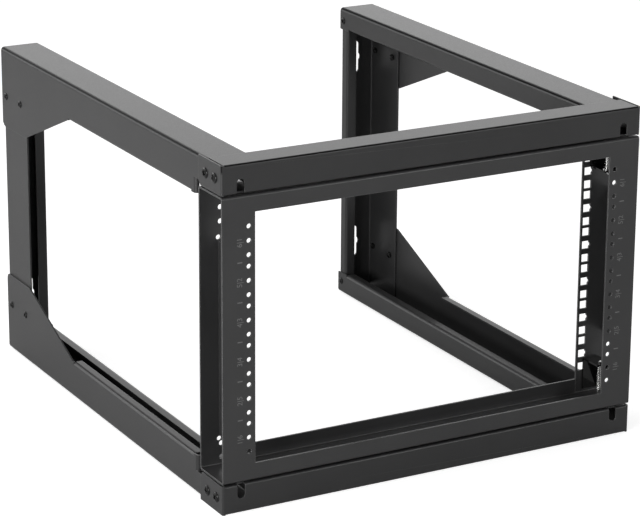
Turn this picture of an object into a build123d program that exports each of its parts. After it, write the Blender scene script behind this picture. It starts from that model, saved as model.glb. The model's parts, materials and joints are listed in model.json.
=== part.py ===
from build123d import *
import os

os.makedirs("parts", exist_ok=True)

# A six unit rack for 19 inch equipment that hangs on a wall, with a front frame that swings on pins.
# X runs across the rack, the wall is at +Y, the front is at -Y and Z is up. The origin is in the
# middle of the rack. Sizes are in millimetres.

# Pattern of the 19 inch standard, which sets the width and the height of everything else
rack_units = 6
unit_height = 44.45
hole_first_step = 6.35  # edge of a unit to its first hole
hole_column_spacing = 465.1
round_hole = 5.5
square_hole = 9.5
square_notch = 4.6  # diameter of the notch beside the middle square of a unit
square_notch_rise = 1.5

# Whole rack
rack_depth = 602.0  # front face to wall

# Front bars
bar_sheet = 1.5
bar_bend = 2.5  # outside radius of every fold
bar_height = 33.0
bar_flange_depth = 36.0
tab_depth = 54.0
tab_chamfer = 5.0
corner_seam = 1.0  # straight stub of the front face before a tab's fold
pin_slot_width = 9.4
pin_slot_height = 16.5

# Arms that run from the front bars to the wall
arm_sheet = 2.0
arm_bend = 4.5
arm_width = 51.0
arm_front_gap = 2.0  # start of the arm behind the fold of the front bar
web_height = 45.0
inner_flange_height = 28.0
web_lip_width = 11.5
flange_lip_width = 12.5
lip_wall_setback = 22.0  # end of the inner flange's lip to the wall
gusset_height = 99.0  # at the wall, from the top of the arm
gusset_foot = 70.0
gusset_slope = 130.0
gusset_corner = 7.0
gusset_relief = 2.0  # end of the web's lip to the gusset
notch_clearance = 9.2  # gate to the edge of the web behind it
notch_lip_flat = 0.5  # that edge is turned in, with a short flat beyond the fold
nose_clearance = 4.5  # bottom of the front bar to the edge of the web above the gate
web_lip_setback = 10.0  # edge of the notch to the start of the web's lip
flange_corner = 3.0

# Wall brackets
bracket_sheet = 2.0
bracket_bend = 3.5
bracket_outer_flange = 70.0
bracket_inner_flange = 16.0
bracket_lip = 13.5
wall_slot_offset = 26.8  # slot centre to the outer face of the bracket
wall_slot_spacing = 254.0
wall_slot_width = 9.5
wall_slot_length = 42.0
wall_slot_eye = 13.0

# Gate
gate_sheet = 2.0
gate_bend = 3.0
gate_gap = 2.0  # to the bars above and below
gate_side_step = 0.5  # side of the gate inside the tabs of the bars
gate_depth = 55.0
column_to_side = 31.95  # column of rack holes to the side of the gate
column_to_opening = 7.35
opening_spare = 8.65  # opening beyond the rack units, above and below
gate_rail_height = 19.5
left_web_from_side = 22.3  # side of the gate to the outer face of the web in the open left post
left_web_top_drop = 64.5  # top of the gate to the top of that web
left_web_bottom_rise = 37.0  # bottom of the gate to its bottom
web_relief = 5.5  # round relief in the rear rail beyond each end of that web
web_relief_step = 4.5
right_web_end_step = 73.5  # the right web closes the side of its post between the hinges

# Hinge pins of the gate
pin_diameter = 3.2
pin_clearance = 0.3
pin_from_side = 22.2  # side of the gate to the pin
pin_from_front = 29.5
pin_reach = 9.0  # tip of the pin beyond the edge of the bar
pin_bend = 4.0
pin_handle = 11.0
handle_gap = 1.0  # handle to its bracket
spring_length = 30.0
spring_wire = 0.8
spring_turns = 10
spring_wire_sides = 8
collar_thickness = 1.5
collar_diameter = 7.0
washer_thickness = 1.0
washer_diameter = 9.5
hinge_bracket_sheet = 2.0
hinge_bracket_bend = 3.0
hinge_bracket_inner = 8.0  # pin to the edge of the bracket nearest the opening
hinge_bracket_outer = 12.0  # pin to the outer face of its cheek
hinge_bracket_height = 38.5
ear_beyond_pin = 7.0
ear_from_end = 43.0  # end of the gate to the outer face of an ear
bracket_hole = 6.0
bracket_hole_from_side = 25.0

# Screws
screw_diameter = 4.0
screw_clearance = 0.25
nut_height = 3.2
nut_flats = 7.0
tab_screw_head = 12.0
tab_screw_height = 2.2
tab_screw_from_front = 16.0
tab_screw_spacing = 21.4
wall_screw_head = 9.0
wall_screw_height = 1.8
wall_screw_from_wall = 12.5
wall_screw_spacing = 43.5
wall_screw_drop = 60.0  # top of the arm to the screws of the gusset
inner_screw_from_wall = 8.0
inner_screw_drop = 16.5  # top of the arm to the screw of the inner flange
head_edge = 1.2

# Places that follow from the sizes
front_y = -rack_depth / 2
wall_y = rack_depth / 2
hole_x = hole_column_spacing / 2
square_notch_x = hole_x + square_hole / 2 + square_notch_rise - square_notch / 2
hole_step = unit_height / 2 - hole_first_step
hole_heights = [
    (unit - rack_units / 2) * unit_height + hole_first_step + step * hole_step
    for unit in range(rack_units)
    for step in range(3)
]
middle_heights = hole_heights[1::3]
opening_x = hole_x - column_to_opening
opening_top = rack_units * unit_height / 2 + opening_spare
gate_x = hole_x + column_to_side
gate_top = opening_top + gate_rail_height
gate_rear_y = front_y + gate_depth
rail_front_y = gate_rear_y - gate_sheet
rail_top = gate_top - gate_bend
left_web_x = -gate_x + left_web_from_side
left_web_top = gate_top - left_web_top_drop
left_web_bottom = -gate_top + left_web_bottom_rise
web_relief_heights = (left_web_top + web_relief_step, left_web_bottom - web_relief_step)
right_web_top = gate_top - right_web_end_step
pin_x = gate_x - pin_from_side
pin_y = front_y + pin_from_front
bar_bottom = gate_top + gate_gap
bar_top = bar_bottom + bar_height
tab_x = gate_x + gate_side_step
arm_x = tab_x - bar_sheet
arm_inner_x = arm_x - arm_width
arm_top = bar_top - bar_sheet
arm_front_y = front_y + bar_bend + arm_front_gap
web_bottom = arm_top - web_height
notch_y = gate_rear_y + notch_clearance
nose_bottom = bar_bottom + nose_clearance
flange_bottom = arm_top - inner_flange_height
bracket_x = arm_x - arm_sheet
bracket_inner_x = arm_inner_x + arm_sheet
bracket_top = arm_top - arm_bend
wall_slot_x = bracket_x - wall_slot_offset
tab_screw_places = [
    (front_y + tab_screw_from_front, bar_top - bar_height / 2),
    (front_y + tab_screw_from_front + tab_screw_spacing, bar_top - bar_height / 2),
]
wall_screw_places = [
    (wall_y - wall_screw_from_wall, arm_top - wall_screw_drop),
    (wall_y - wall_screw_from_wall - wall_screw_spacing, arm_top - wall_screw_drop),
]
inner_screw_place = (wall_y - inner_screw_from_wall, arm_top - inner_screw_drop)
bracket_hole_top = hole_heights[-1] + hole_step / 2  # half a step beyond the last rack hole
bracket_hole_places = [
    (gate_x - bracket_hole_from_side, height)
    for height in (
        bracket_hole_top,
        bracket_hole_top - hole_step,
        -bracket_hole_top,
        -bracket_hole_top - hole_step,
    )
]

# Half of each sheet: the folded sections are drawn along the middle of their sheet
half_bar = bar_sheet / 2
half_arm = arm_sheet / 2
half_bracket = bracket_sheet / 2
half_gate = gate_sheet / 2
half_ear = hinge_bracket_sheet / 2

front_plane = Plane.XZ.offset(-front_y)
wall_plane = Plane.XZ.offset(-wall_y)


def other_side(part):
    """The same piece on the left of the rack."""
    with BuildPart() as mirrored:
        mirror(part, about=Plane.YZ)
    return mirrored.part


def other_end(part):
    """The same piece at the bottom of the rack."""
    with BuildPart() as mirrored:
        mirror(part, about=Plane.XY)
    return mirrored.part


def save(part, name):
    """Label a finished piece and write it to its own file."""
    part.label = name
    export_step(part, f"parts/{name}.step")


def screws(plane, places, grip, head, height):
    """Screws on the outside of a plane, at both ends of the rack, each with a nut behind its sheets."""
    with BuildPart() as fastened:
        with BuildSketch(plane):
            with Locations(*places):
                Circle(head / 2)
            mirror(about=Plane.XZ)
        extrude(amount=height)
        rims = fastened.edges().group_by(Axis(plane.origin, plane.z_dir))[-1]
        chamfer(rims, height / 2, head_edge)
        with BuildSketch(plane):
            with Locations(*places):
                Circle(screw_diameter / 2)
            mirror(about=Plane.XZ)
        extrude(amount=-grip - nut_height)
        with BuildSketch(plane.offset(-grip)):
            with Locations(*places):
                RegularPolygon(nut_flats / 2, 6, major_radius=False)
            mirror(about=Plane.XZ)
        extrude(amount=-nut_height)
    return fastened.part


# Front bars: a channel folded from one sheet, with a tab at each end
with BuildPart() as top_front_bar:
    with BuildSketch(Plane.YZ):
        with BuildLine():
            FilletPolyline(
                (front_y + bar_flange_depth, bar_bottom + half_bar),
                (front_y + half_bar, bar_bottom + half_bar),
                (front_y + half_bar, bar_top - half_bar),
                (front_y + bar_flange_depth, bar_top - half_bar),
                radius=bar_bend - half_bar,
            )
        trace(line_width=bar_sheet)
    channel_x = tab_x - bar_bend - corner_seam
    extrude(amount=channel_x, both=True)
    with BuildSketch(Plane.XY.offset(bar_bottom)):
        with BuildLine():
            FilletPolyline(
                (channel_x, front_y + half_bar),
                (tab_x - half_bar, front_y + half_bar),
                (tab_x - half_bar, front_y + tab_depth),
                radius=bar_bend - half_bar,
            )
        trace(line_width=bar_sheet)
        mirror(about=Plane.YZ)
    extrude(amount=bar_height)
    tab_corners = top_front_bar.edges().filter_by(Axis.X).group_by(Axis.Y)[-1].group_by(Axis.Z)[0]
    chamfer(tab_corners, tab_chamfer)
    # Slots in the front face that open towards the gate, in front of the hinge pins
    with BuildSketch(front_plane):
        with Locations((-pin_x, bar_bottom), (pin_x, bar_bottom)):
            Rectangle(pin_slot_width, 2 * pin_slot_height - pin_slot_width)
        with Locations(
            (-pin_x, bar_bottom + pin_slot_height - pin_slot_width / 2),
            (pin_x, bar_bottom + pin_slot_height - pin_slot_width / 2),
        ):
            Circle(pin_slot_width / 2)
    extrude(amount=-2 * bar_bend, mode=Mode.SUBTRACT)
    with BuildSketch(Plane.XY.offset(bar_bottom)):
        with Locations((-pin_x, pin_y), (pin_x, pin_y)):
            Circle(pin_diameter / 2 + pin_clearance)
    extrude(amount=bar_sheet, mode=Mode.SUBTRACT)
    with BuildSketch(Plane.YZ.offset(-tab_x)):
        with Locations(*tab_screw_places):
            Circle(screw_diameter / 2 + screw_clearance)
    extrude(amount=2 * tab_x, mode=Mode.SUBTRACT)
save(top_front_bar.part, "top_front_bar")
save(other_end(top_front_bar.part), "bottom_front_bar")

# Arms: a folded channel, deeper at the wall, with a lip along each edge
gusset_foot_y = wall_y - gusset_foot
gusset_front_y = gusset_foot_y - gusset_slope
web_lip_front_y = notch_y + web_lip_setback
web_lip_rear_y = gusset_front_y - gusset_relief
flange_lip_rear_y = wall_y - lip_wall_setback
fold_start = arm_bend + arm_sheet  # straight stub that leads into a fold

with BuildPart() as top_right_arm:
    with BuildSketch(wall_plane):
        with BuildLine():
            FilletPolyline(
                (arm_x - half_arm, arm_top - fold_start),
                (arm_x - half_arm, arm_top - half_arm),
                (arm_inner_x + half_arm, arm_top - half_arm),
                (arm_inner_x + half_arm, arm_top - fold_start),
                radius=arm_bend - half_arm,
            )
        trace(line_width=arm_sheet)
    extrude(amount=wall_y - arm_front_y)
    # Outer web, with its gusset at the wall and the notch that the gate swings in
    with BuildSketch(Plane.YZ.offset(arm_x)):
        with BuildLine():
            Polyline(
                (arm_front_y, arm_top - fold_start),
                (wall_y, arm_top - fold_start),
                (wall_y, arm_top - gusset_height),
                (gusset_foot_y, arm_top - gusset_height),
                (gusset_front_y, web_bottom),
                (web_lip_rear_y, web_bottom),
                (web_lip_rear_y, web_bottom + arm_bend),
                (web_lip_front_y, web_bottom + arm_bend),
                (web_lip_front_y, web_bottom),
                (notch_y + arm_bend, web_bottom),
                (notch_y + arm_bend, nose_bottom),
                (arm_front_y, nose_bottom),
                close=True,
            )
        make_face()
    extrude(amount=-arm_sheet)
    gusset_corners = top_right_arm.edges().filter_by(Axis.X).group_by(Axis.Z)[0].sort_by(Axis.Y)
    fillet(gusset_corners[-1], gusset_corner)
    # Lip along the edge that the gate swings past
    with BuildSketch(Plane.XY.offset(web_bottom)):
        with BuildLine():
            FilletPolyline(
                (arm_x - half_arm, notch_y + fold_start),
                (arm_x - half_arm, notch_y + half_arm),
                (arm_x - arm_bend - notch_lip_flat, notch_y + half_arm),
                radius=arm_bend - half_arm,
            )
        trace(line_width=arm_sheet)
    extrude(amount=nose_bottom - web_bottom)
    # Inner flange, stepped where its lip ends before the wall bracket
    with BuildSketch(Plane.YZ.offset(arm_inner_x)):
        with BuildLine():
            Polyline(
                (arm_front_y, arm_top - fold_start),
                (wall_y, arm_top - fold_start),
                (wall_y, flange_bottom),
                (flange_lip_rear_y, flange_bottom),
                (flange_lip_rear_y, flange_bottom + arm_bend),
                (arm_front_y, flange_bottom + arm_bend),
                close=True,
            )
        make_face()
    extrude(amount=arm_sheet)
    with BuildSketch(Plane.XZ.offset(-web_lip_rear_y)):
        with BuildLine():
            FilletPolyline(
                (arm_x - half_arm, web_bottom + fold_start),
                (arm_x - half_arm, web_bottom + half_arm),
                (arm_x - web_lip_width, web_bottom + half_arm),
                radius=arm_bend - half_arm,
            )
        trace(line_width=arm_sheet)
    extrude(amount=web_lip_rear_y - web_lip_front_y)
    with BuildSketch(Plane.XZ.offset(-flange_lip_rear_y)):
        with BuildLine():
            FilletPolyline(
                (arm_inner_x + half_arm, flange_bottom + fold_start),
                (arm_inner_x + half_arm, flange_bottom + half_arm),
                (arm_inner_x + flange_lip_width, flange_bottom + half_arm),
                radius=arm_bend - half_arm,
            )
        trace(line_width=arm_sheet)
    extrude(amount=flange_lip_rear_y - arm_front_y)
    # Screw holes in the web and in the inner flange
    with BuildSketch(Plane.YZ.offset(arm_x)):
        with Locations(*tab_screw_places, *wall_screw_places):
            Circle(screw_diameter / 2 + screw_clearance)
    extrude(amount=-arm_sheet, mode=Mode.SUBTRACT)
    with BuildSketch(Plane.YZ.offset(arm_inner_x)):
        with Locations(inner_screw_place):
            Circle(screw_diameter / 2 + screw_clearance)
    extrude(amount=arm_sheet, mode=Mode.SUBTRACT)
save(top_right_arm.part, "top_right_arm")
save(other_side(top_right_arm.part), "top_left_arm")
save(other_end(top_right_arm.part), "bottom_right_arm")
save(other_side(other_end(top_right_arm.part)), "bottom_left_arm")

# Wall brackets: upright channels between the arms, with keyhole slots for wall screws
with BuildPart() as right_wall_bracket:
    with BuildSketch(Plane.XY):
        with BuildLine():
            FilletPolyline(
                (bracket_x - half_bracket, wall_y - bracket_outer_flange),
                (bracket_x - half_bracket, wall_y - half_bracket),
                (bracket_inner_x + half_bracket, wall_y - half_bracket),
                (bracket_inner_x + half_bracket, wall_y - bracket_inner_flange + half_bracket),
                (bracket_inner_x + bracket_lip, wall_y - bracket_inner_flange + half_bracket),
                radius=bracket_bend - half_bracket,
            )
        trace(line_width=bracket_sheet)
    extrude(amount=bracket_top, both=True)
    with BuildSketch(wall_plane):
        with Locations((wall_slot_x, -wall_slot_spacing / 2), (wall_slot_x, wall_slot_spacing / 2)):
            SlotOverall(wall_slot_length, wall_slot_width, rotation=90)
            Circle(wall_slot_eye / 2)
    extrude(amount=bracket_sheet, mode=Mode.SUBTRACT)
    with BuildSketch(Plane.YZ.offset(bracket_x)):
        with Locations(*wall_screw_places):
            Circle(screw_diameter / 2 + screw_clearance)
        mirror(about=Plane.XZ)
    extrude(amount=-bracket_sheet, mode=Mode.SUBTRACT)
    with BuildSketch(Plane.YZ.offset(bracket_inner_x)):
        with Locations(inner_screw_place):
            Circle(screw_diameter / 2 + screw_clearance)
        mirror(about=Plane.XZ)
    extrude(amount=bracket_sheet, mode=Mode.SUBTRACT)
save(right_wall_bracket.part, "right_wall_bracket")
save(other_side(right_wall_bracket.part), "left_wall_bracket")

# Screws of the tabs, of the gussets and of the inner flanges
tab_screws = screws(
    Plane.YZ.offset(tab_x),
    tab_screw_places,
    bar_sheet + arm_sheet,
    tab_screw_head,
    tab_screw_height,
)
wall_screws = screws(
    Plane.YZ.offset(arm_x),
    wall_screw_places,
    arm_sheet + bracket_sheet,
    wall_screw_head,
    wall_screw_height,
)
inner_screws = screws(
    Plane(origin=(arm_inner_x, 0, 0), x_dir=(0, -1, 0), z_dir=(-1, 0, 0)),
    [(-inner_screw_place[0], inner_screw_place[1])],
    arm_sheet + bracket_sheet,
    wall_screw_head,
    wall_screw_height,
)
save(tab_screws, "right_tab_screws")
save(other_side(tab_screws), "left_tab_screws")
save(wall_screws, "right_gusset_screws")
save(other_side(wall_screws), "left_gusset_screws")
save(inner_screws, "right_flange_screws")
save(other_side(inner_screws), "left_flange_screws")

# Gate: a ring with the round rack holes, folded back above and below and again behind
with BuildPart() as gate_front_frame:
    with BuildSketch(Plane.YZ):
        with BuildLine():
            FilletPolyline(
                (gate_rear_y - half_gate, opening_top),
                (gate_rear_y - half_gate, gate_top - half_gate),
                (front_y + half_gate, gate_top - half_gate),
                (front_y + half_gate, opening_top),
                radius=gate_bend - half_gate,
            )
        trace(line_width=gate_sheet)
        mirror(about=Plane.XZ)
    extrude(amount=gate_x, both=True)
    with BuildSketch(front_plane):
        Rectangle(2 * gate_x, 2 * opening_top)
        Rectangle(2 * opening_x, 2 * opening_top, mode=Mode.SUBTRACT)
    extrude(amount=-gate_sheet)
    # The rear rails fill the cut-outs in the rear lips
    with BuildSketch(Plane.XZ.offset(-gate_rear_y)):
        Rectangle(2 * gate_x, 2 * rail_top)
        Rectangle(2 * opening_x, 2 * rail_top, mode=Mode.SUBTRACT)
    extrude(amount=gate_sheet, mode=Mode.SUBTRACT)
    with BuildSketch(front_plane):
        with Locations(*[(side * hole_x, height) for side in (-1, 1) for height in hole_heights]):
            Circle(round_hole / 2)
    extrude(amount=-gate_sheet, mode=Mode.SUBTRACT)
    with BuildSketch(Plane.XY.offset(-gate_top)):
        with Locations((-pin_x, pin_y), (pin_x, pin_y)):
            Circle(pin_diameter / 2 + pin_clearance)
    extrude(amount=2 * gate_top, mode=Mode.SUBTRACT)
save(gate_front_frame.part, "gate_front_frame")

# Rear rails: square holes for cage nuts, with a notch beside the middle hole of each unit
with BuildPart() as gate_right_rear_rail:
    with BuildSketch(Plane.XZ.offset(-gate_rear_y)):
        with Locations(((opening_x + gate_x) / 2, 0)):
            Rectangle(gate_x - opening_x, 2 * rail_top)
        with Locations(*[(hole_x, height) for height in hole_heights]):
            Rectangle(square_hole, square_hole, mode=Mode.SUBTRACT)
        with Locations(*[(square_notch_x, height) for height in middle_heights]):
            Circle(square_notch / 2, mode=Mode.SUBTRACT)
        with Locations(*bracket_hole_places):
            Circle(bracket_hole / 2, mode=Mode.SUBTRACT)
    extrude(amount=gate_sheet)
save(gate_right_rear_rail.part, "gate_right_rear_rail")

with BuildPart() as gate_left_rear_rail:
    mirror(gate_right_rear_rail.part, about=Plane.YZ)
    with BuildSketch(Plane.XZ.offset(-gate_rear_y)):
        with Locations(*[(left_web_x, height) for height in web_relief_heights]):
            Circle(web_relief / 2)
    extrude(amount=gate_sheet, mode=Mode.SUBTRACT)
save(gate_left_rear_rail.part, "gate_left_rear_rail")

# Webs that join the front of a post to its rear rail
with BuildPart() as gate_right_web:
    with BuildSketch(Plane.YZ.offset(gate_x)):
        with Locations(((front_y + gate_sheet + rail_front_y) / 2, 0)):
            Rectangle(rail_front_y - front_y - gate_sheet, 2 * right_web_top)
    extrude(amount=-gate_sheet)
save(gate_right_web.part, "gate_right_web")

with BuildPart() as gate_left_web:
    with BuildSketch(Plane.YZ.offset(left_web_x)):
        with Locations(((front_y + gate_sheet + rail_front_y) / 2, (left_web_top + left_web_bottom) / 2)):
            Rectangle(rail_front_y - front_y - gate_sheet, left_web_top - left_web_bottom)
    extrude(amount=gate_sheet)
save(gate_left_web.part, "gate_left_web")

# Hinge: a bent rod that a spring holds in the bar, carried by an ear on the rear rail
ear_height = gate_top - ear_from_end
ear_inner = ear_height - hinge_bracket_sheet
washer_top = ear_height + washer_thickness
collar_bottom = washer_top + spring_length
handle_z = ear_inner - handle_gap - pin_diameter / 2

hinge_bracket_x = pin_x + hinge_bracket_outer

with BuildPart() as top_hinge_bracket:
    with BuildSketch(Plane.YZ.offset(hinge_bracket_x)):
        with BuildLine():
            FilletPolyline(
                (pin_y - ear_beyond_pin, ear_inner + half_ear),
                (rail_front_y - half_ear, ear_inner + half_ear),
                (rail_front_y - half_ear, ear_inner + hinge_bracket_height),
                radius=hinge_bracket_bend - half_ear,
            )
        trace(line_width=hinge_bracket_sheet)
    extrude(amount=-hinge_bracket_outer - hinge_bracket_inner)
    # Cheek that closes the outer side of the bracket
    with BuildSketch(Plane.YZ.offset(hinge_bracket_x)):
        with BuildLine():
            Polyline(
                (pin_y - ear_beyond_pin, ear_inner),
                (rail_front_y - hinge_bracket_bend, ear_inner),
                (rail_front_y - half_ear, ear_inner + hinge_bracket_bend),
                (rail_front_y - half_ear, ear_inner + hinge_bracket_height),
                close=True,
            )
        make_face()
    extrude(amount=-hinge_bracket_sheet)
    with BuildSketch(Plane.XY.offset(ear_inner)):
        with Locations((pin_x, pin_y)):
            Circle(pin_diameter / 2 + pin_clearance)
    extrude(amount=hinge_bracket_sheet, mode=Mode.SUBTRACT)
save(top_hinge_bracket.part, "top_hinge_bracket")
save(other_end(top_hinge_bracket.part), "bottom_hinge_bracket")

with BuildPart() as top_hinge_washer:
    with BuildSketch(Plane.XY.offset(ear_height)):
        with Locations((pin_x, pin_y)):
            Circle(washer_diameter / 2)
            Circle(pin_diameter / 2 + pin_clearance, mode=Mode.SUBTRACT)
    extrude(amount=washer_thickness)
save(top_hinge_washer.part, "top_hinge_washer")
save(other_end(top_hinge_washer.part), "bottom_hinge_washer")

with BuildPart() as top_hinge_pin:
    with BuildLine():
        rod_line = FilletPolyline(
            (pin_x, pin_y, bar_bottom + pin_reach),
            (pin_x, pin_y, handle_z),
            (pin_x, pin_y - pin_handle, handle_z),
            radius=pin_bend,
        )
    with BuildSketch(Plane(origin=rod_line @ 0, z_dir=rod_line % 0)):
        Circle(pin_diameter / 2)
    sweep()
    chamfer(top_hinge_pin.edges().group_by(Axis.Z)[-1], pin_diameter / 8)
    with BuildSketch(Plane.XY.offset(collar_bottom)):
        with Locations((pin_x, pin_y)):
            Circle(collar_diameter / 2)
    extrude(amount=collar_thickness)
save(top_hinge_pin.part, "top_hinge_pin")
save(other_end(top_hinge_pin.part), "bottom_hinge_pin")

# Coil spring between the washer on the ear and the collar on the pin
spring_radius = pin_diameter / 2 + pin_clearance + spring_wire / 2
coil_height = spring_length - spring_wire - pin_clearance

with BuildPart() as top_hinge_spring:
    with BuildLine():
        coil = Helix(
            pitch=coil_height / spring_turns,
            height=coil_height,
            radius=spring_radius,
            center=(pin_x, pin_y, washer_top + (spring_length - coil_height) / 2),
        )
    with BuildSketch(Plane(origin=coil @ 0, z_dir=coil % 0)):
        RegularPolygon(spring_wire / 2, spring_wire_sides)
    sweep(is_frenet=True)
save(top_hinge_spring.part, "top_hinge_spring")
save(other_end(top_hinge_spring.part), "bottom_hinge_spring")
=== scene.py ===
"""Looks of a hinged wall mount rack: finishes, screws, springs, printed marks, floor, light and camera."""
import json
import math

import bpy
from mathutils import Matrix, Vector


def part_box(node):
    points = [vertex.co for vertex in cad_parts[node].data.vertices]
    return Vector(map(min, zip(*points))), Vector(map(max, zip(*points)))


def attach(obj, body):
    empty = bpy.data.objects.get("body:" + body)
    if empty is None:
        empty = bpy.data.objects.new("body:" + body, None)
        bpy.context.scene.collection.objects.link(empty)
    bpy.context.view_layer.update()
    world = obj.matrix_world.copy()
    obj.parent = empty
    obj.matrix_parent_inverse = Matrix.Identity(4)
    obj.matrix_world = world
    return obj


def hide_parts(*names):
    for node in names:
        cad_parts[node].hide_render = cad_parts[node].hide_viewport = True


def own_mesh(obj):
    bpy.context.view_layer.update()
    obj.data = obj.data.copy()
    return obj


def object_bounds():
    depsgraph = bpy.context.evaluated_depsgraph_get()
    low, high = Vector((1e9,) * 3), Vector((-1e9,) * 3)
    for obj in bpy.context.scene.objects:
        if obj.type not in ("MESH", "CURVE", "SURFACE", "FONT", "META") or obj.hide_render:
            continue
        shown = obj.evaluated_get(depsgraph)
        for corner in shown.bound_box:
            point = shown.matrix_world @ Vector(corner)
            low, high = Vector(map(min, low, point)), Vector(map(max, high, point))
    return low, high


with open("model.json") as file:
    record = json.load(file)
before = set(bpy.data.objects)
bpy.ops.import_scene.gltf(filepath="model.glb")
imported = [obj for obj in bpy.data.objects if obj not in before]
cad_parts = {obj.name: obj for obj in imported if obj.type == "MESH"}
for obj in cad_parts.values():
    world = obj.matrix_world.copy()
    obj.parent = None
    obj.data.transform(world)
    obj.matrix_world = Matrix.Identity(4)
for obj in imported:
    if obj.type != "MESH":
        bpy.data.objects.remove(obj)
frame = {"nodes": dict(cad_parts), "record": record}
cad_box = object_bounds()

MM = 0.001


# Places on the solids, in millimetres

def box_mm(name):
    """Lowest and highest corner of a CAD node."""
    return [[round(value / MM, 2) for value in corner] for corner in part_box(name)]


bar_low, bar_high = box_mm("top_front_bar")
arm_low, arm_high = box_mm("top_right_arm")
spring_low, spring_high = box_mm("top_hinge_spring")
washer_high = box_mm("top_hinge_washer")[1]
front_y, wall_y = bar_low[1], arm_high[1]


# Node helpers

def new_material(name):
    material = bpy.data.materials.new(name)
    material.use_nodes = True
    tree = material.node_tree
    shader = tree.nodes["Principled BSDF"]
    return material, tree, shader


def add(tree, kind, **values):
    node = tree.nodes.new(kind)
    for key, value in values.items():
        if key in node.inputs:
            node.inputs[key].default_value = value
        else:
            setattr(node, key, value)
    return node


def noise(tree, coords, scale, detail=2.0):
    node = add(tree, "ShaderNodeTexNoise", Scale=scale, Detail=detail)
    tree.links.new(coords.outputs["Object"], node.inputs["Vector"])
    return node.outputs["Fac"]


def ramp(tree, source, low, high, low_value, high_value):
    """Maps a grey value from low..high to low_value..high_value."""
    node = add(tree, "ShaderNodeMapRange")
    node.inputs["From Min"].default_value = low
    node.inputs["From Max"].default_value = high
    node.inputs["To Min"].default_value = low_value
    node.inputs["To Max"].default_value = high_value
    tree.links.new(source, node.inputs["Value"])
    return node.outputs["Result"]


def mix_colours(tree, factor, first, second):
    """Mixes two colours, each three numbers or the output of a node."""
    node = add(tree, "ShaderNodeMix", data_type="RGBA")
    for name, colour in (("A", first), ("B", second)):
        if isinstance(colour, tuple):
            node.inputs[name].default_value = (*colour, 1)
        else:
            tree.links.new(colour, node.inputs[name])
    tree.links.new(factor, node.inputs["Factor"])
    return node.outputs["Result"]


def bump(tree, shader, height, distance, strength=1.0, rounding=None):
    """Bump up to a distance in metres, on the true surface or on one with rounded edges."""
    node = add(tree, "ShaderNodeBump", Distance=distance, Strength=strength)
    tree.links.new(height, node.inputs["Height"])
    if rounding is not None:
        tree.links.new(rounding.outputs["Normal"], node.inputs["Normal"])
    tree.links.new(node.outputs["Normal"], shader.inputs["Normal"])


def calculate(tree, operation, first, second):
    node = add(tree, "ShaderNodeMath", operation=operation)
    for socket, value in zip(node.inputs, (first, second)):
        if isinstance(value, float):
            socket.default_value = value
        else:
            tree.links.new(value, socket)
    return node.outputs[0]


# Materials

EDGE_RADIUS = 0.6 * MM
PEEL_DEPTH = 0.04 * MM
FINE_DEPTH = 0.03 * MM
FOLD_START = 186 * MM  # height above which the folds get painted shade
FOLD_FULL = 190 * MM
# Near black painted on the top folds as painted shade
FOLD_SHADE_GREY = (0.006, 0.006, 0.006)


def edge_share(tree, rounding):
    """1 on sharp edges of the sheet and 0 on its faces: how far the rounded normal leaves the true one."""
    surface = add(tree, "ShaderNodeNewGeometry")
    dot = add(tree, "ShaderNodeVectorMath", operation="DOT_PRODUCT")
    tree.links.new(rounding.outputs["Normal"], dot.inputs[0])
    tree.links.new(surface.outputs["Normal"], dot.inputs[1])
    return ramp(tree, dot.outputs["Value"], 0.82, 0.985, 1.0, 0.0)


def fold_shade_share(tree, coords):
    """1 on the top folds, where the surface looks along no axis of the rack, and 0 elsewhere: where the
    painted shade goes.
    """
    split = add(tree, "ShaderNodeSeparateXYZ")
    tree.links.new(coords.outputs["Normal"], split.inputs[0])
    sizes = [calculate(tree, "ABSOLUTE", split.outputs[axis], 0.0) for axis in range(3)]
    largest = calculate(tree, "MAXIMUM", calculate(tree, "MAXIMUM", sizes[0], sizes[1]), sizes[2])
    place = add(tree, "ShaderNodeSeparateXYZ")
    tree.links.new(coords.outputs["Object"], place.inputs[0])
    upper = ramp(tree, place.outputs["Z"], FOLD_START, FOLD_FULL, 0.0, 1.0)
    return calculate(tree, "MULTIPLY", ramp(tree, largest, 0.80, 0.985, 1.0, 0.0), upper)


def powder_coat(name, low, high, highlight_grey):
    """Satin black powder coat: orange peel and faint clouds, with painted highlights that make sharp edges
    pale and painted shade that darkens and dulls the top folds.
    """
    material, tree, shader = new_material(name)
    coords = add(tree, "ShaderNodeTexCoord")
    clouds = noise(tree, coords, 14.0, 3.0)
    grain = noise(tree, coords, 900.0, 2.0)
    rounding = add(tree, "ShaderNodeBevel", samples=6, Radius=EDGE_RADIUS)
    fold_shade = fold_shade_share(tree, coords)
    face = mix_colours(tree, ramp(tree, clouds, 0.3, 0.7, 0.0, 1.0), low, high)
    # Painted shade: the top folds are darkened towards near black, and their sheen lowered below
    shaded_bend = mix_colours(tree, fold_shade, face, FOLD_SHADE_GREY)
    # Painted highlight: sharp edges are made pale, unevenly along their length, in place of lit edge lines
    unevenness = ramp(tree, clouds, 0.35, 0.65, 0.45, 1.0)
    edge_highlight = calculate(tree, "MULTIPLY", edge_share(tree, rounding), unevenness)
    highlighted_colour = mix_colours(tree, edge_highlight, shaded_bend, (highlight_grey, highlight_grey, highlight_grey))
    tree.links.new(highlighted_colour, shader.inputs["Base Color"])
    tree.links.new(ramp(tree, grain, 0.3, 0.7, 0.28, 0.36), shader.inputs["Roughness"])
    tree.links.new(ramp(tree, fold_shade, 0.0, 1.0, 0.5, 0.05), shader.inputs["Specular IOR Level"])
    bump(tree, shader, grain, PEEL_DEPTH, 0.5, rounding)
    return material


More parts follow.
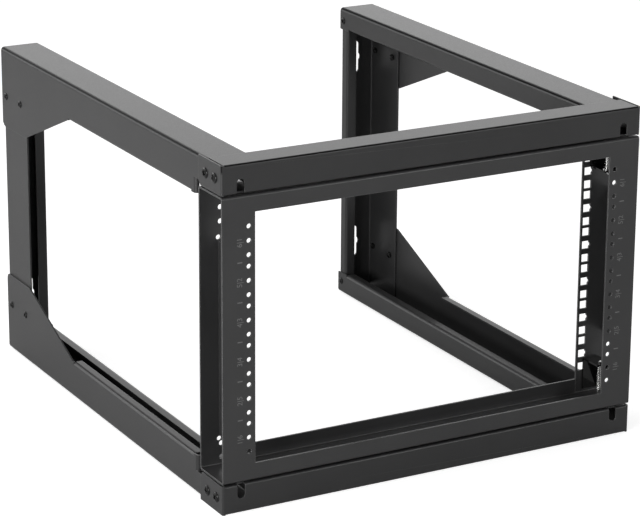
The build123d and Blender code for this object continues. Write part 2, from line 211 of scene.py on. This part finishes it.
def black_oxide():
    """Black oiled steel, darker and glossier than the coat."""
    material, tree, shader = new_material("black_oxide")
    coords = add(tree, "ShaderNodeTexCoord")
    patches = noise(tree, coords, 300.0, 3.0)
    share = ramp(tree, patches, 0.35, 0.65, 0.0, 1.0)
    colour = mix_colours(tree, share, (0.003, 0.003, 0.003), (0.007, 0.007, 0.0067))
    tree.links.new(colour, shader.inputs["Base Color"])
    tree.links.new(ramp(tree, patches, 0.3, 0.7, 0.08, 0.14), shader.inputs["Roughness"])
    shader.inputs["Specular IOR Level"].default_value = 0.35
    bump(tree, shader, patches, FINE_DEPTH, 0.4)
    return material


def zinc():
    """Bright zinc plate with small duller patches."""
    material, tree, shader = new_material("zinc")
    coords = add(tree, "ShaderNodeTexCoord")
    patches = noise(tree, coords, 260.0, 4.0)
    share = ramp(tree, patches, 0.3, 0.7, 0.0, 1.0)
    colour = mix_colours(tree, share, (0.84, 0.84, 0.83), (0.95, 0.95, 0.94))
    tree.links.new(colour, shader.inputs["Base Color"])
    tree.links.new(ramp(tree, patches, 0.3, 0.7, 0.10, 0.22), shader.inputs["Roughness"])
    shader.inputs["Metallic"].default_value = 1.0
    bump(tree, shader, patches, FINE_DEPTH, 0.4)
    return material


def print_ink():
    """Grey screen print, slightly uneven."""
    material, tree, shader = new_material("print_ink")
    coords = add(tree, "ShaderNodeTexCoord")
    speckle = noise(tree, coords, 1500.0, 2.0)
    share = ramp(tree, speckle, 0.35, 0.65, 0.0, 1.0)
    colour = mix_colours(tree, share, (0.11, 0.11, 0.11), (0.16, 0.16, 0.16))
    tree.links.new(colour, shader.inputs["Base Color"])
    shader.inputs["Roughness"].default_value = 0.6
    return material


# One black powder coat in two copies: set darker on the frame as painted shade, and lighter with paler
# edges on the gate as painted light
frame_coat = powder_coat("frame_coat", (0.021, 0.021, 0.0214), (0.025, 0.025, 0.0254), 0.17)
gate_coat = powder_coat("gate_coat", (0.030, 0.030, 0.0305), (0.035, 0.035, 0.0355), 0.32)
oxide = black_oxide()
plated = zinc()
ink = print_ink()
finish_of = {"frame_coat": frame_coat, "gate_coat": gate_coat, "screw_black": oxide, "zinc_plate": plated}
# The hinge brackets have the gate's slot, but the rack is black with shade where they stand, so they take
# the darker black oxide as painted shade
painted_shade_nodes = ("top_hinge_bracket", "bottom_hinge_bracket")
for part in frame["record"]["subparts"]:
    finish = oxide if part["node"] in painted_shade_nodes else finish_of[part["material_slot"]]
    for place in frame["nodes"][part["node"]].material_slots:
        place.material = finish


# Mesh code for the small pieces. Lengths in millimetres, placed by a matrix.

def skin(build, rings, matrix):
    """Joins closed rings of the same number of points by quads. A ring of one point closes an end."""
    points, faces = build
    starts = []
    for ring in rings:
        starts.append((len(points), len(ring)))
        points.extend(matrix @ Vector(point) for point in ring)
    for (first, count), (second, next_count) in zip(starts, starts[1:]):
        for i in range(max(count, next_count)):
            j = (i + 1) % max(count, next_count)
            if count == 1:
                faces.append((first, second + i, second + j))
            elif next_count == 1:
                faces.append((first + j, first + i, second))
            else:
                faces.append((first + j, first + i, second + i, second + j))


def circle(radius, height, segments):
    if radius == 0:
        return [(0, 0, height)]
    turns = [2 * math.pi * i / segments for i in range(segments)]
    return [(radius * math.cos(turn), radius * math.sin(turn), height) for turn in turns]


def step(value, low, high):
    share = min(1.0, max(0.0, (value - low) / (high - low)))
    return share * share * (3 - 2 * share)


def cross_recess(x, y, length, width, depth):
    """Depth of a cross recess at a point of the head: two tapered slots."""
    wall_slope, end_slope, taper = 0.12, 0.5, 0.35
    deepest = 0.0
    for along, across in ((abs(x), abs(y)), (abs(y), abs(x))):
        wall = 1 - step(across, width / 2 - wall_slope, width / 2 + wall_slope)
        end = 1 - step(along, length / 2 - end_slope, length / 2)
        deepest = max(deepest, wall * end * depth * (1 - taper * along / (length / 2)))
    return deepest


SCREW_RADIUS = 2.0
SCREW_END = 3.2  # sheets to the end of the screw
END_CHAMFER = 0.4
THREAD_DEPTH = 0.2
THREAD_PITCH = 0.2
NUT_FLAT = 3.5  # middle of the nut to a flat
NUT_HEIGHT = 2.6
NUT_CHAMFER = 0.577  # 30 degrees
NUT_FACE = 0.97  # share of the flat that the round end face reaches
HEAD_SIDES, HEAD_RINGS, NUT_SIDES = 64, 18, 48
DOME_POWER = 2.3  # 2 would be a half ellipse, more is flatter on top


def add_head(build, matrix, radius, height, grip):
    """Pan head on z = 0 with a cross recess, and its shank through the sheets below."""
    recess = (1.15 * radius, 0.34 * radius, 0.85 * height)
    rings = []
    for i in range(HEAD_RINGS + 1):
        reach = radius * math.sin(math.pi / 2 * i / HEAD_RINGS)
        dome = height * (1 - (reach / radius) ** DOME_POWER) ** (1 / DOME_POWER)
        ring = circle(reach, dome, HEAD_SIDES)
        rings.append([(x, y, z - cross_recess(x, y, *recess)) for x, y, z in ring])
    rings.append(circle(SCREW_RADIUS, 0, HEAD_SIDES))
    rings.append(circle(SCREW_RADIUS, -grip, HEAD_SIDES))
    skin(build, rings, matrix)


def add_nut(build, matrix, grip):
    """Hexagon nut behind the sheets, chamfered at both ends, and the end of the screw beyond it."""
    edge = []
    for i in range(NUT_SIDES):
        turn = 2 * math.pi * i / NUT_SIDES
        reach = NUT_FLAT / math.cos((turn + math.pi / 6) % (math.pi / 3) - math.pi / 6)
        edge.append((reach * math.cos(turn), reach * math.sin(turn), NUT_CHAMFER * (reach - NUT_FLAT)))
    top = -grip - NUT_HEIGHT
    rings = [circle(SCREW_RADIUS, -grip, NUT_SIDES), circle(NUT_FACE * NUT_FLAT, -grip, NUT_SIDES)]
    rings.append([(x, y, -grip - drop) for x, y, drop in edge])
    rings.append([(x, y, top + drop) for x, y, drop in edge])
    rings.append(circle(NUT_FACE * NUT_FLAT, top, NUT_SIDES))
    # A small countersink, then two turns of thread as rings
    rings.append(circle(SCREW_RADIUS + 0.15, top, NUT_SIDES))
    rings.append(circle(SCREW_RADIUS - 0.1, top + 0.2, NUT_SIDES))
    for i in range(2):
        rings.append(circle(SCREW_RADIUS - THREAD_DEPTH, top - (0.2 + i) * THREAD_PITCH, NUT_SIDES))
        rings.append(circle(SCREW_RADIUS, top - (0.7 + i) * THREAD_PITCH, NUT_SIDES))
    rings.append(circle(SCREW_RADIUS - END_CHAMFER, -grip - SCREW_END, NUT_SIDES))
    rings.append(circle(0, -grip - SCREW_END, NUT_SIDES))
    skin(build, rings, matrix)


def add_spring(build, matrix, radius, wire, length, turns):
    """Coil spring from z = 0 to its length, with a closed turn at each end."""
    wire_sides, turn_sides = 12, 36
    steps = turns * turn_sides
    open_share = []
    for i in range(steps):
        done = i / turn_sides
        open_share.append(step(done, 0.7, 1.3) * step(turns - done, 0.7, 1.3))
    extra = (length - wire * (turns + 1)) / sum(open_share)
    height, rings = wire / 2, []
    for i in range(steps + 1):
        turn = 2 * math.pi * i / turn_sides
        out = Vector((math.cos(turn), math.sin(turn), 0))
        up = Vector((0, 0, 1))
        centre = radius * out + height * up
        around = [2 * math.pi * k / wire_sides for k in range(wire_sides)]
        rings.append([centre + wire / 2 * (math.cos(a) * out - math.sin(a) * up) for a in around])
        if i in (0, steps):
            rings.insert(0 if i == 0 else len(rings), [centre])
        if i < steps:
            height += wire / turn_sides + extra * open_share[i]
    skin(build, rings, matrix)


def make_piece(name, build, material, body, nodes=(), sharp=0.6):
    points, faces = build
    mesh = bpy.data.meshes.new(name)
    mesh.from_pydata([MM * point for point in points], [], faces)
    mesh.materials.append(material)
    mesh.shade_smooth()
    mesh.set_sharp_from_angle(angle=sharp)
    piece = bpy.data.objects.new(name, mesh)
    bpy.context.scene.collection.objects.link(piece)
    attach(piece, body)
    if nodes:
        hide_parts(*nodes)
    return piece


# Screws: heads on the outer faces, nuts inside

def facing(side, place, turn):
    """Frame with z along +X or -X, turned about its own axis."""
    sideways = Matrix.Translation(place) @ Matrix.Rotation(side * math.pi / 2, 4, "Y")
    return sideways @ Matrix.Rotation(turn, 4, "Z")


def both_ends(*places):
    """Places (y, z) on an upper piece, then the same on the lower one."""
    return [*places, *[(y, -z) for y, z in places]]


# Turns of the recesses, chosen so that no two neighbours are alike
head_turns = iter((
    0.35, 1.15, 0.8, 0.1, 1.4, 0.6, 0.95, 0.25, 1.25, 0.5,
    0.05, 0.7, 1.0, 0.4, 1.3, 0.2, 0.85, 0.55, 1.1, 0.3,
))


def screw_set(name, face_x, outward, places, head, grip):
    """Like screws on the left and on the right, in place of the plain ones of the solids."""
    for side_name, side in (("left", -1), ("right", 1)):
        build = ([], [])
        for y, z in places:
            matrix = facing(side * outward, (side * face_x, y, z), next(head_turns))
            add_head(build, matrix, *head, grip)
            add_nut(build, matrix, grip)
        node = side_name + "_" + name + "_screws"
        make_piece(node + "_detail", build, oxide, "wall_frame", (node,))


BAR_SHEET = bar_high[0] - arm_high[0]
ARM_SHEET = 2.0
BRACKET_SHEET = 2.0
TAB_HEAD = (6.0, 2.2)  # radius and height
WALL_HEAD = (4.5, 1.8)
TAB_SCREW_SPACING = 21.4
GUSSET_SCREW_SPACING = 43.5
tab_y = front_y + 16.0
bar_z = (bar_low[2] + bar_high[2]) / 2
gusset_y = wall_y - 12.5
gusset_z = arm_high[2] - 60.0
flange_y = wall_y - 8.0
flange_z = arm_high[2] - 16.5
tab_places = both_ends((tab_y, bar_z), (tab_y + TAB_SCREW_SPACING, bar_z))
gusset_places = both_ends((gusset_y, gusset_z), (gusset_y - GUSSET_SCREW_SPACING, gusset_z))
flange_places = both_ends((flange_y, flange_z))
screw_set("tab", bar_high[0], 1, tab_places, TAB_HEAD, BAR_SHEET + ARM_SHEET)
screw_set("gusset", arm_high[0], 1, gusset_places, WALL_HEAD, ARM_SHEET + BRACKET_SHEET)
screw_set("flange", arm_low[0], -1, flange_places, WALL_HEAD, ARM_SHEET + BRACKET_SHEET)


# Hinge springs as coils of a fixed length on their pins; the real ones shorten as their pin is drawn back

SPRING_RADIUS = 2.3
SPRING_WIRE = 0.8
SPRING_LENGTH = 30.0
SPRING_TURNS = 12
pin_x, pin_y = [(spring_low[axis] + spring_high[axis]) / 2 for axis in (0, 1)]
for end_name, side in (("top", 1), ("bottom", -1)):
    build = ([], [])
    seat = Vector((pin_x, pin_y, side * washer_high[2]))
    upright = Matrix.Translation(seat) @ Matrix.Diagonal((1, 1, side, 1))
    add_spring(build, upright, SPRING_RADIUS, SPRING_WIRE, SPRING_LENGTH, SPRING_TURNS)
    if side < 0:
        build[1][:] = [tuple(reversed(face)) for face in build[1]]
    node = end_name + "_hinge_spring"
    spring = make_piece(node + "_coil", build, plated, "gate", (node,))
    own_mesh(spring)


# Unit numbers and division marks printed on the front of the posts

UNITS = 6
UNIT = 44.45
MARK_X = 243.5
MARK_HEIGHT = 6.0
MARK_DROP = 1.0  # middle of a unit to its mark
CAPITAL_SHARE = 0.69  # height of a capital as a share of the font's size
STROKE_WIDTH = 6.0
STROKE_HEIGHT = 1.2
INK_Y = front_y - 0.03


def print_text(build, text, matrix, height):
    """Characters of Blender's own font as flat faces."""
    curve = bpy.data.curves.new("print", "FONT")
    curve.body = text
    curve.size = height / CAPITAL_SHARE
    curve.align_x = "CENTER"
    curve.align_y = "CENTER"
    curve.resolution_u = 4
    holder = bpy.data.objects.new("print", curve)
    flat = bpy.data.meshes.new_from_object(holder)
    points, faces = build
    first = len(points)
    points.extend(matrix @ vertex.co for vertex in flat.vertices)
    faces.extend(tuple(first + i for i in face.vertices) for face in flat.polygons)
    bpy.data.objects.remove(holder)
    bpy.data.curves.remove(curve)
    bpy.data.meshes.remove(flat)


def print_stroke(build, x, z):
    """Short level stroke around a point of the front."""
    points, faces = build
    first = len(points)
    for across, up in ((-1, -1), (1, -1), (1, 1), (-1, 1)):
        points.append(Vector((x + across * STROKE_WIDTH / 2, INK_Y, z + up * STROKE_HEIGHT / 2)))
    faces.append((first, first + 1, first + 2, first + 3))


for side_name, side in (("left", -1), ("right", 1)):
    build = ([], [])
    mark_x = side * MARK_X
    for unit in range(UNITS):
        mark_z = (unit - (UNITS - 1) / 2) * UNIT - MARK_DROP
        upright = Matrix.Translation((mark_x, INK_Y, mark_z)) @ Matrix.Rotation(math.pi / 2, 4, "X")
        sideways = upright @ Matrix.Rotation(math.pi / 2, 4, "Z")
        print_text(build, str(unit + 1) + "|" + str(UNITS - unit), sideways, MARK_HEIGHT)
        if unit < UNITS - 1:
            print_stroke(build, mark_x, mark_z + UNIT / 2)
    make_piece(side_name + "_unit_print", build, ink, "gate")


# Floor

FLOOR_REACH = 12.0
FLOOR_LIFT = 0.66  # added for camera rays alone


def floor_white():
    """White floor: camera rays see it near white with the rack's shadow, reflections see it as lit."""
    material, tree, shader = new_material("floor_white")
    coords = add(tree, "ShaderNodeTexCoord")
    clouds = noise(tree, coords, 3.0, 2.0)
    colour = mix_colours(tree, clouds, (0.80, 0.80, 0.80), (0.82, 0.82, 0.82))
    tree.links.new(colour, shader.inputs["Base Color"])
    shader.inputs["Roughness"].default_value = 0.9
    shader.inputs["Specular IOR Level"].default_value = 0.1
    glow = add(tree, "ShaderNodeEmission")
    path = add(tree, "ShaderNodeLightPath")
    lift = calculate(tree, "MULTIPLY", path.outputs["Is Camera Ray"], FLOOR_LIFT)
    tree.links.new(lift, glow.inputs["Strength"])
    total = add(tree, "ShaderNodeAddShader")
    tree.links.new(shader.outputs[0], total.inputs[0])
    tree.links.new(glow.outputs[0], total.inputs[1])
    tree.links.new(total.outputs[0], tree.nodes["Material Output"].inputs["Surface"])
    return material


floor_z = cad_box[0].z
floor_corners = [
    (side * FLOOR_REACH, end * FLOOR_REACH, floor_z)
    for side, end in ((-1, -1), (1, -1), (1, 1), (-1, 1))
]
floor_mesh = bpy.data.meshes.new("floor")
floor_mesh.from_pydata(floor_corners, [], [(0, 1, 2, 3)])
floor = bpy.data.objects.new("floor", floor_mesh)
bpy.context.scene.collection.objects.link(floor)
floor_mesh.materials.append(floor_white())


# Light

def soft_light(name, place, target, size, power):
    """Rectangular lamp at a place in metres, turned to its target, with its power in watts."""
    lamp = bpy.data.lights.new(name, "AREA")
    lamp.shape = "RECTANGLE"
    lamp.size, lamp.size_y = size
    lamp.energy = power
    holder = bpy.data.objects.new(name, lamp)
    holder.location = place
    holder.rotation_mode = "QUATERNION"
    holder.rotation_quaternion = (Vector(target) - Vector(place)).to_track_quat("-Z", "Y")
    bpy.context.scene.collection.objects.link(holder)


rack_middle = (0, 0, 0)
soft_light("left_front", (-2.3, -1.3, 0.4), rack_middle, (1.2, 0.8), 39)
soft_light("over_left", (-1.6, 0.0, 2.2), rack_middle, (1.6, 1.2), 9)
soft_light("front_right", (1.35, -2.7, 0.9), rack_middle, (0.6, 0.3), 11)
soft_light("rear_left", (-1.1, 1.4, 0.9), (-0.6, 0.9, -0.2), (0.6, 0.6), 4.5)


def studio_world():
    """Soft grey room with a bright backdrop behind the rack, up to a low height."""
    world = bpy.data.worlds.new("studio")
    bpy.context.scene.world = world
    world.use_nodes = True
    tree = world.node_tree
    back = tree.nodes["Background"]
    coords = add(tree, "ShaderNodeTexCoord")
    split = add(tree, "ShaderNodeSeparateXYZ")
    tree.links.new(coords.outputs["Generated"], split.inputs[0])
    rear = ramp(tree, split.outputs["Y"], 0.2, 0.7, 0.0, 1.0)
    low = ramp(tree, split.outputs["Z"], 0.33, 0.39, 1.0, 0.0)
    backdrop = calculate(tree, "MULTIPLY", rear, low)
    tree.links.new(ramp(tree, backdrop, 0.0, 1.0, 0.35, 1.65), back.inputs["Strength"])
    back.inputs["Color"].default_value = (1, 1, 1, 1)


studio_world()


# Camera at the photograph's angle, fitted to the rack holes: pixels, a rotation vector and metres

camera_data = bpy.data.cameras.new("camera")
camera = bpy.data.objects.new("camera", camera_data)
bpy.context.scene.collection.objects.link(camera)
bpy.context.scene.camera = camera
picture_width, picture_height = 640, 522
focal_pixels = 2714.9
middle = (320.0, 200.0)
turn = Vector((0.2883, -0.4986, -0.0676))
place = Vector((-1.4803, -2.7223, 0.9775))
camera_data.sensor_width = 36.0
camera_data.lens = focal_pixels / picture_width * camera_data.sensor_width
camera_data.shift_x = (picture_width / 2 - middle[0]) / picture_width
camera_data.shift_y = (middle[1] - picture_height / 2) / picture_width
camera_data.clip_start, camera_data.clip_end = 0.05, 60.0
level = Matrix(((1, 0, 0), (0, 0, -1), (0, 1, 0)))
axes = Matrix.Rotation(turn.length, 3, turn.normalized()) @ level
right, down, forward = axes[0], axes[1], axes[2]
camera.matrix_world = Matrix.Translation(place) @ Matrix((right, -down, -forward)).transposed().to_4x4()

bpy.context.scene.view_settings.view_transform = "Standard"
